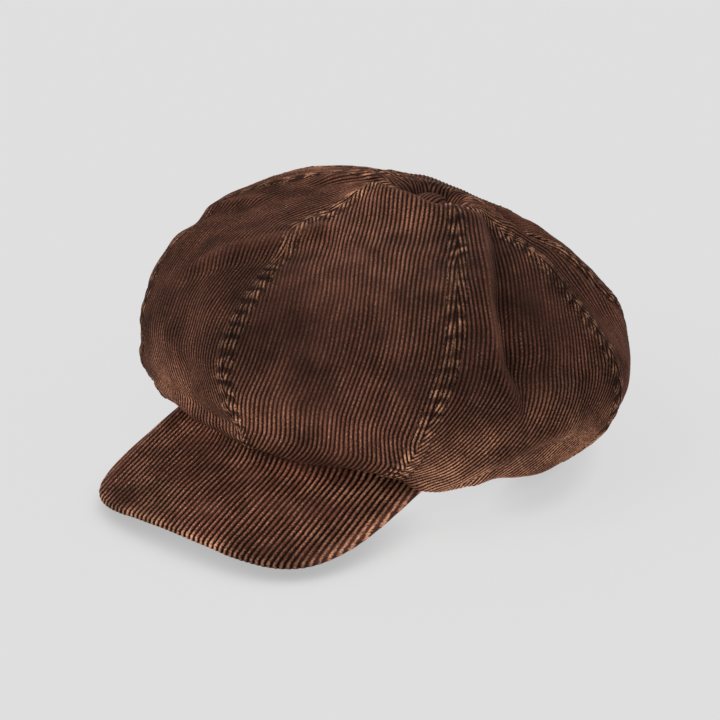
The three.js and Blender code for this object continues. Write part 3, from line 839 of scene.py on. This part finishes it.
def visor_under_cover():
    """The plain under side of the visor, inside the turned-under edge."""
    root, edge, _ = visor_strip(in_steps(UNDER_AROUND, 0.8) + 1, VISOR_THICK / 2 + VISOR_TURN - 1.5)
    t = np.linspace(0.0, 1.0, in_steps(UNDER_REACH, 1.2) + 1)[:, None, None]
    flat = root[None] * (1 - t) + edge[None] * t
    height = visor_top(flat[..., :1], flat[..., 1:]) - VISOR_THICK + 0.5
    base = np.concatenate([flat, height], -1)
    base[..., 1] += HEAD_Y
    outward = turned_to(normals_of(base), (base.shape[0] // 2, base.shape[1] // 2), -UP)
    along = arc_lengths(base, 0)
    wale = base[..., 0] / VISOR_PITCH
    points = base + outward * (0.8 * wale_relief(wale, along, 130))[..., None]
    values = {"wale": wale, "along": along, "worn": along * 0.0, "shade": along * 0.0 + 0.25}
    return closed_sheet("visor_under_cloth", points, base - outward * VISOR_COVER, values)


# ---- Bands and lining ----
def ring_sheet(half_x, half_y, low, high, thick, columns, rows, relief=None):
    """A closed band round the head, with rounded edges; relief lifts its outside.

    Returns its points and faces, and each point's distance round the band and height on it."""
    angle = np.radians(np.linspace(0.0, 360.0, columns, endpoint=False))
    section = rounded_section(high - low, thick, rows)
    dx, dy = np.sin(angle), -np.cos(angle)
    run = angle * (half_x + half_y) / 2
    points = np.zeros((len(section), columns, 3))
    heights = np.zeros((len(section), columns))
    for r, (out, up, lift_share) in enumerate(section):
        extra = relief(run, np.full(columns, up)) * lift_share if relief else 0.0
        offset = out - thick + extra
        points[r, :, 0] = (half_x + offset) * dx
        points[r, :, 1] = (half_y + offset) * dy
        points[r, :, 2] = band_bottom(half_y * dy) + low + up
        heights[r] = up
    points[..., 1] += HEAD_Y
    faces = quads(numbered(len(section), columns), around=True, closed=True)
    return points.reshape(-1, 3), faces, np.broadcast_to(run, heights.shape), heights


def rounded_section(tall, thick, rows):
    """A band's section, anticlockwise from its outer lower corner: out, up, and how far it takes relief."""
    r = thick / 2 * 0.9
    corner = [(math.cos(t), math.sin(t)) for t in (0.5, 1.05)]
    outside = [(thick, u, 1.0) for u in np.linspace(r, tall - r, rows)]
    top = [(thick - r + r * c, tall - r + r * s, c) for c, s in corner]
    top += [(r - r * c, tall - r + r * s, 0.0) for c, s in reversed(corner)]
    inside = [(0.0, u, 0.0) for u in np.linspace(tall - r, r, max(4, rows // 4))]
    base = [(r - r * c, r - r * s, 0.0) for c, s in corner]
    base += [(thick - r + r * c, r - r * s, c) for c, s in reversed(corner)]
    return outside + top + inside + base


BAND_COLUMNS = 1140
BAND_WALES = 184.0


def band_wale(run):
    """Number of the wale at each distance round the band."""
    return run / run.max() * BAND_WALES * (BAND_COLUMNS - 1) / BAND_COLUMNS


def band_relief(run, up):
    """The band's wales, and the seam at its back."""
    return wale_relief(band_wale(run), up, 140) - 0.9 * hill(run - run.max() / 2, 0.9)


def headband():
    """The corduroy band, its wales upright, seamed at the back."""
    points, faces, run, up = ring_sheet(BAND_X, BAND_Y, low=0.0, high=BAND_TALL, thick=3.0,
                                        columns=BAND_COLUMNS, rows=22, relief=band_relief)
    values = {"wale": band_wale(run), "along": up, "worn": ease((4.0 - up) / 4.0) * 0.6,
              "shade": ease((up - 12.0) / 10.0) * 0.4}
    return make_object("headband_cloth", points, faces, values)


def sweatband():
    """The woven tape inside the band."""
    node_low, node_high = box_mm("sweatband")
    half = (node_high - node_low) / 2
    points, faces, run, up = ring_sheet(half[0], half[1], low=1.5, high=24.0, thick=1.2,
                                        columns=480, rows=12)
    return make_object("sweatband_tape", points, faces, {"run": run, "up": up})


LINING_GAP = 15.0  # how far inside the crown it hangs
LINING_CLOTH = 0.7
LINING_INSET = 6.5  # and how far inside the band's outer side
LINING_SHARES = 70
LINING_COLUMNS = 50


def lining_panel(k):
    """One gore of the lining, hanging slack inside the crown."""
    share = np.linspace(0.03, 0.985, LINING_SHARES)[:, None]
    across = np.linspace(0.0, 1.0, LINING_COLUMNS)[None]
    angle = gore_angle(k, share, across)
    shell = looked_up(PLAIN_CROWN, angle, share)
    inside = shell - looked_up(PLAIN_OUTWARD, angle, share) * LINING_GAP
    low = ease((0.36 - share) / 0.2)[..., None]
    dx, dy, _ = crown_direction(angle)
    band = 1.0 / np.hypot(dx / (BAND_X - LINING_INSET), dy / (BAND_Y - LINING_INSET))
    rise = band_bottom(dy * band) + BAND_TALL - 3.0 + share * 110.0
    straight = np.stack([dx * band, dy * band + HEAD_Y, rise], -1)
    base = inside * (1 - low) + straight * low
    run = arc_lengths(base, 1)
    along = arc_lengths(base, 0)
    probe = LINING_SHARES // 2, LINING_COLUMNS // 2
    facing = turned_to(normals_of(base), probe, base[probe] - INSIDE)
    gap = np.minimum(run, run[:, -1:] - run)
    height = 0.8 * noise(run / 16.0, along / 20.0, 160 + k) - 0.5 * hill(gap, 1.2)
    outer = base + facing * height[..., None]
    values = {"run": run, "up": along}
    return closed_sheet("lining_gore_" + PANELS[k], outer, outer - facing * LINING_CLOTH, values, step=1)


# ---- Button and label ----
CLOTH_UNDER = 1.1  # how far the button's cloth is drawn down under its rim
RIM_TURN = 0.95  # how far round its rim, in radians


def top_button():
    """A button covered in the same corduroy, its cloth gathered under the rim."""
    radius = (button_high[0] - button_low[0]) / 2
    centre = (button_low + button_high) / 2
    base_z = button_low[2] + CLOTH_UNDER
    rise = button_high[2] - base_z
    rings, spokes = 46, 160
    turn = np.linspace(0.0, 1.0, rings)[:, None]
    angle = 2 * np.pi * np.arange(spokes)[None] / spokes
    arc = turn * (np.pi / 2 + RIM_TURN)
    over = np.minimum(arc, np.pi / 2)
    below = ease((arc - np.pi / 2) / RIM_TURN)
    out = radius * np.sin(over) ** 0.9 - 3.0 * below
    up = rise * np.cos(over) ** 0.85 - CLOTH_UNDER * below
    x, y = out * np.cos(angle), out * np.sin(angle)
    gather = 0.35 * np.sin(angle * 22) * ease((arc - 1.2) / 0.5)
    wale = (x + 0.15 * noise(x / 5.0, y / 5.0, 150)) / WALE_PITCH
    lift = 1.0 + (0.75 * wale_relief(wale, y + 40.0, 151) - 0.25 + gather) / radius
    top = np.stack([x * lift + centre[0], y * lift + centre[1], up * lift + base_z], -1)
    under = np.array((centre[0], centre[1], base_z - CLOTH_UNDER))
    ids = numbered(rings - 1, spokes, 1)
    faces = list(quads(ids, around=True)[:, ::-1])
    for a, b in zip(range(spokes), np.roll(range(spokes), -1)):
        faces += [[0, ids[0, a], ids[0, b]], [ids[-1, a], ids.size + 1, ids[-1, b]]]
    points = np.concatenate([top[0, :1], top[1:].reshape(-1, 3), under[None]])
    values = {"wale": (wale, 0.0), "along": (y + 40.0, 0.0),
              "worn": (ease((turn + 0 * angle - 0.45) / 0.2) * 0.5, 0.0),
              "shade": (ease((turn + 0 * angle - 0.75) / 0.2), 1.0)}
    values = {key: np.concatenate([v[0, :1], v[1:].ravel(), [end]]) for key, (v, end) in values.items()}
    return make_object("button_cloth", points, faces, values)


def label():
    """A blank woven label, hemmed at both ends and bent to the band."""
    low, high = box_mm("care_label")
    rows, columns = 41, 61
    u = np.linspace(0.0, 1.0, columns)[None]
    v = np.linspace(0.0, 1.0, rows)[:, None]
    x = low[0] + (high[0] - low[0]) * u
    bend = (1.0 - (2 * u - 1) ** 2) * 0.5
    hem = 0.14 * (hill(u - 0.06, 0.015) + hill(u - 0.94, 0.015))
    front = low[1] + 0.1 + bend + hem + 0.05 * np.sin(v * 9.0)
    z = low[2] + (high[2] - low[2]) * v
    face = np.stack(np.broadcast_arrays(x, front, z), -1)
    back = face + [0.0, 0.45, 0.0]
    return closed_sheet("care_label_cloth", face, back, {"run": face[..., 0], "up": face[..., 2]})


# ---- Materials ----
# Each gives groove, rib and rib-tip colours: the dark grooves are painted shade between the ribs, and the
# pale rib tips are partly worn pile and partly a painted highlight.
CROWN_DYE_AND_RIB_SHADING = ((0.0100, 0.0036, 0.0023), (0.082, 0.0308, 0.0196), (0.310, 0.142, 0.088))
VISOR_DYE_AND_RIB_SHADING = ((0.0065, 0.0020, 0.0012), (0.120, 0.0420, 0.0245), (0.600, 0.290, 0.190))
RUBBED_DYE = (0.072, 0.0290, 0.0195)
WORN = (0.500, 0.250, 0.145)


class Nodes:
    """A node tree, with short ways to add nodes and join them."""

    def __init__(self, tree):
        self.tree = tree

    def node(self, kind, settings=None, **inputs):
        made = self.tree.nodes.new(kind)
        for key, value in (settings or {}).items():
            setattr(made, key, value)
        for key, value in inputs.items():
            self.feed(made.inputs[int(key[1:]) if key[1:].isdigit() else key], value)
        return made

    def feed(self, socket, value):
        if isinstance(value, bpy.types.NodeSocket):
            self.tree.links.new(value, socket)
        elif isinstance(value, (tuple, list)) and socket.type == "RGBA":
            socket.default_value = (*value, 1.0)
        else:
            socket.default_value = value

    def math(self, operation, a, b=0.0):
        return self.node("ShaderNodeMath", {"operation": operation}, i0=a, i1=b).outputs[0]

    def times(self, first, *others):
        for other in others:
            first = self.math("MULTIPLY", first, other)
        return first

    def plus(self, a, b):
        return self.math("ADD", a, b)

    def value(self, name):
        return self.node("ShaderNodeAttribute", {"attribute_name": name}).outputs["Fac"]

    def vector(self, x, y):
        return self.node("ShaderNodeCombineXYZ", X=x, Y=y).outputs[0]

    def noise(self, vector, scale, detail=2.0, roughness=0.5):
        sizes = {"Scale": scale, "Detail": detail, "Roughness": roughness}
        return self.node("ShaderNodeTexNoise", Vector=vector, **sizes).outputs["Fac"]

    def place(self):
        return self.node("ShaderNodeTexCoord").outputs["Object"]

    def mix(self, share, a, b):
        made = self.node("ShaderNodeMix", {"data_type": "RGBA"}, i0=share)
        self.feed(made.inputs[6], a)
        self.feed(made.inputs[7], b)
        return made.outputs[2]

    def remap(self, value, low, high, to_low=0.0, to_high=1.0):
        made = self.node("ShaderNodeMapRange", {"interpolation_type": "SMOOTHSTEP"}, Value=value)
        for key, number in (("From Min", low), ("From Max", high), ("To Min", to_low), ("To Max", to_high)):
            made.inputs[key].default_value = number
        return made.outputs[0]

    def scaled(self, colour, factor):
        made = self.node("ShaderNodeVectorMath", {"operation": "SCALE"}, i0=colour)
        self.feed(made.inputs["Scale"], factor)
        return made.outputs[0]


class Shader(Nodes):
    """A material with one main surface."""

    def __init__(self, name, roughness, sheen=0.0, tint=(1, 1, 1), specular=0.3, metallic=0.0):
        self.material = bpy.data.materials.new(name)
        self.material.use_nodes = True
        super().__init__(self.material.node_tree)
        self.surface = next(n for n in self.tree.nodes if n.type == "BSDF_PRINCIPLED")
        looks = {"Roughness": roughness, "Specular IOR Level": specular, "Metallic": metallic,
                 "Sheen Weight": sheen, "Sheen Roughness": 0.45, "Sheen Tint": (*tint, 1.0)}
        for key, number in looks.items():
            self.surface.inputs[key].default_value = number

    def bump(self, height, strength, distance):
        made = self.node("ShaderNodeBump", Strength=strength, Distance=distance, Height=height)
        self.feed(self.surface.inputs["Normal"], made.outputs[0])

    def finish(self, colour):
        self.feed(self.surface.inputs["Base Color"], colour)
        return self.material


def corduroy(name, dye_and_rib_shading, brightness=1.0):
    """Washed brown corduroy: valleys painted dark as shade, rib tops painted paler as worn pile and
    highlight, rubbed patches, tan where it is raised, and painted shade and light from its shade and tone
    values.
    """
    groove, wale_colour, pale = dye_and_rib_shading
    s = Shader(name, 0.9, sheen=0.06, tint=(0.85, 0.50, 0.36), specular=0.08)
    wale, along = s.value("wale"), s.value("along")
    ridge = s.math("ABSOLUTE", s.math("SINE", s.times(wale, math.pi)))
    pile = s.noise(s.vector(s.times(wale, 2.8), s.times(along, 0.95)), 1.0, 3.0, 0.65)
    streak = s.noise(s.vector(s.times(wale, 0.85), s.times(along, 0.07)), 1.0, 2.0)
    wash = s.noise(s.place(), 26.0, 3.0, 0.55)
    cloud = s.noise(s.place(), 75.0, 2.0, 0.6)
    edge = s.plus(ridge, s.times(s.math("SUBTRACT", pile, 0.5), 1.6))
    # Valleys take the dark groove colour, painted shade between the ribs.
    colour = s.mix(s.remap(edge, 0.35, 0.92), groove, wale_colour)
    # Rib tops turn pale, partly worn pile and partly a painted highlight.
    tips = s.times(s.remap(edge, 0.84, 1.32), s.remap(streak, 0.35, 0.65, 0.20, 1.0))
    colour = s.mix(tips, colour, pale)
    flat = s.scaled(RUBBED_DYE, s.remap(pile, 0.3, 0.7, 0.72, 1.28))
    colour = s.mix(s.times(s.value("rub"), 0.8), colour, flat)
    raised = s.remap(s.plus(edge, s.times(cloud, 0.5)), 0.88, 1.40)
    worn = s.math("MINIMUM", s.times(s.value("worn"), raised), 0.85)
    colour = s.mix(worn, colour, WORN)
    washed = s.times(s.remap(wash, 0.34, 0.66, 0.68, 1.30), s.remap(cloud, 0.32, 0.68, 0.80, 1.18))
    # Painted shade from the shade value; uneven dye and painted light and shade from the tone value.
    shaded = s.math("SUBTRACT", 1.0, s.times(s.value("shade"), 0.70))
    tone_and_painted_light = s.plus(1.0, s.value("tone_and_painted_light"))
    colour = s.scaled(colour, s.times(washed, shaded, tone_and_painted_light, brightness))
    s.bump(s.plus(pile, s.times(cloud, 0.3)), 0.6, 0.0003)
    return s.finish(colour)


def thread(name):
    """Twisted cotton thread."""
    s = Shader(name, 0.75, sheen=0.1, tint=(0.6, 0.45, 0.3), specular=0.2)
    twist = s.noise(s.place(), 2600.0, 2.0)
    patches = s.noise(s.place(), 120.0, 2.0)
    colour = s.mix(s.remap(twist, 0.35, 0.65), (0.018, 0.008, 0.005), (0.080, 0.034, 0.021))
    colour = s.mix(s.remap(patches, 0.52, 0.72), colour, (0.20, 0.10, 0.058))
    s.bump(twist, 0.4, 0.0002)
    return s.finish(colour)


def satin(name, dark, light, rib, roughness):
    """Fine woven cloth or tape with a soft sheen; rib is the weave's pitch in millimetres."""
    s = Shader(name, roughness, sheen=0.25, tint=(0.5, 0.5, 0.52), specular=0.35)
    run, up = s.value("run"), s.value("up")
    weave = s.math("SINE", s.times(run, 2 * math.pi / rib))
    cross = s.math("SINE", s.times(up, 2 * math.pi / (0.6 * rib)))
    fabric = s.times(s.plus(s.times(weave, cross), 1.0), 0.5)
    cloudy = s.noise(s.place(), 90.0, 3.0)
    colour = s.mix(fabric, dark, light)
    colour = s.scaled(colour, s.remap(cloudy, 0.3, 0.7, 0.8, 1.2))
    s.bump(fabric, 0.35, 0.0002)
    return s.finish(colour)


def plastic(name):
    """Stiff grey board with a moulded grain."""
    s = Shader(name, 0.5, specular=0.4)
    grain = s.noise(s.place(), 900.0, 3.0)
    colour = s.mix(s.remap(grain, 0.3, 0.7), (0.035, 0.035, 0.037), (0.055, 0.055, 0.058))
    s.bump(grain, 0.3, 0.0002)
    return s.finish(colour)


def steel(name):
    """Stamped steel with fine scratches."""
    s = Shader(name, 0.35, specular=0.5, metallic=1.0)
    scratch = s.noise(s.place(), 1500.0, 4.0, 0.7)
    colour = s.mix(scratch, (0.42, 0.42, 0.43), (0.62, 0.62, 0.64))
    s.bump(scratch, 0.15, 0.0001)
    return s.finish(colour)


# ---- The cap ----
def place(thing, material, slot, *nodes):
    """Gives a piece its material, attaches it to the root body and hides the CAD nodes that it stands for.
    """
    thing.data.materials.append(material)
    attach(thing, "root")
    if nodes:
        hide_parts(*nodes)
    return thing


crown_cloth = corduroy("crown_corduroy", CROWN_DYE_AND_RIB_SHADING)
visor_cloth = corduroy("visor_corduroy", VISOR_DYE_AND_RIB_SHADING)
band_cloth = corduroy("band_corduroy", CROWN_DYE_AND_RIB_SHADING, 0.85)
thread_brown = thread("brown_thread")
lining_cloth = satin("lining_satin", (0.010, 0.009, 0.009), (0.020, 0.018, 0.018), 0.5, 0.5)
tape_cloth = satin("sweatband_tape", (0.006, 0.006, 0.006), (0.022, 0.021, 0.021), 1.0, 0.7)
label_cloth = satin("label_cloth", (0.55, 0.52, 0.46), (0.72, 0.69, 0.62), 0.6, 0.6)
board_plastic = plastic("board_plastic")
button_steel = steel("button_steel")

seam_lines = []
for number, panel_name in enumerate(PANELS):
    gore, lines = crown_panel(number)
    place(gore, crown_cloth, "crown_corduroy", "crown_panel_" + panel_name)
    place(lining_panel(number), lining_cloth, "lining_cloth", "lining_panel_" + panel_name)
    seam_lines += lines
place(stitching("topstitching", seam_lines), thread_brown, "crown_corduroy")
place(visor_top_cover(), visor_cloth, "visor_corduroy", "visor_top_cover")
place(visor_under_cover(), visor_cloth, "visor_corduroy", "visor_under_cover")
place(headband(), band_cloth, "band_corduroy", "headband")
place(sweatband(), tape_cloth, "sweatband_tape", "sweatband")
place(top_button(), crown_cloth, "crown_corduroy", "button_cover")
place(label(), label_cloth, "label_cloth", "care_label")

solid_parts = {"visor_board": board_plastic, "button_shell": button_steel, "button_shank": button_steel}
for node, material in solid_parts.items():
    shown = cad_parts[node].data.materials
    shown.clear()
    shown.append(material)

# ---- Floor, light and camera ----
FLOOR_HALF = 30.0
FLOOR_GREY = 0.07
FLOOR_GLOW = 0.672
CONTACT = 0.024  # reach of the painted contact shadow where the cap rests
CONTACT_GLOW = 0.66  # and how much of the floor's glow is left in that painted shadow
SKY_LOW = 0.737  # the sky meets the floor without a line
SKY_HIGH = 0.60
SKY_BLEND = (0.02, 0.45)  # rise of the view over which it changes
SUN_STRENGTH = 1.5
SUN_ANGLE = 40.0
SUN_FROM = (-0.39, -0.73, 0.90)
CAMERA_TURN = 37.0  # degrees from the front towards the wearer's left
CAMERA_RISE = 25.0
CAMERA_AWAY = 1.4
AIM = (0.0, 0.0, 0.065)
AIM_RIGHT = 0.0072  # the frame's middle from the aim, to the right and down
AIM_DOWN = 0.0053
LENS = 125.0


def build_floor():
    """A large plain pale floor that glows evenly, with a painted contact shadow where the cap rests."""
    h = FLOOR_HALF
    mesh = bpy.data.meshes.new("floor")
    mesh.from_pydata([(-h, -h, 0), (h, -h, 0), (h, h, 0), (-h, h, 0)], [], [(0, 1, 2, 3)])
    paint = Shader("floor_paint", 0.9, specular=0.0)
    paint.surface.inputs["Emission Color"].default_value = (1.0, 1.0, 1.0, 1.0)
    # The glow dims close to the cap: a painted contact shadow.
    near = paint.node("ShaderNodeAmbientOcclusion", {"samples": 16}, Distance=CONTACT).outputs["AO"]
    glow = paint.remap(near, 0.25, 1.0, CONTACT_GLOW * FLOOR_GLOW, FLOOR_GLOW)
    paint.feed(paint.surface.inputs["Emission Strength"], glow)
    mesh.materials.append(paint.finish((FLOOR_GREY,) * 3))
    added("floor", mesh)


def build_lights():
    """An even pale sky, and one broad soft light from the upper left."""
    world = bpy.data.worlds.new("studio")
    bpy.context.scene.world = world
    world.use_nodes = True
    background = next(n for n in world.node_tree.nodes if n.type == "BACKGROUND")
    background.inputs["Color"].default_value = (1.0, 1.0, 1.0, 1.0)
    sky = Nodes(world.node_tree)
    facing = sky.node("ShaderNodeTexCoord").outputs["Generated"]
    rise = sky.node("ShaderNodeSeparateXYZ", i0=facing).outputs["Z"]
    sky.feed(background.inputs["Strength"], sky.remap(rise, *SKY_BLEND, SKY_LOW, SKY_HIGH))
    light = bpy.data.lights.new("soft_key", "SUN")
    light.energy = SUN_STRENGTH
    light.angle = math.radians(SUN_ANGLE)
    added("soft_key", light).rotation_euler = Vector(SUN_FROM).to_track_quat("Z", "Y").to_euler()


def build_camera():
    """The camera: above, in front and to the wearer's left."""
    turn, rise = math.radians(CAMERA_TURN), math.radians(CAMERA_RISE)
    away = np.array([math.sin(turn) * math.cos(rise), -math.cos(turn) * math.cos(rise), math.sin(rise)])
    right = np.array([math.cos(turn), math.sin(turn), 0.0])
    up = np.array([-math.sin(turn) * math.sin(rise), math.cos(turn) * math.sin(rise), math.cos(rise)])
    camera = added("camera", bpy.data.cameras.new("camera"))
    camera.data.lens = LENS
    camera.data.sensor_width = 36.0
    camera.data.clip_end = 100.0
    camera.location = np.array(AIM) + right * AIM_RIGHT - up * AIM_DOWN + away * CAMERA_AWAY
    camera.rotation_euler = (math.pi / 2 - rise, 0.0, turn)
    bpy.context.scene.camera = camera


build_floor()
build_lights()
build_camera()
bpy.context.scene.view_settings.view_transform = "Standard"
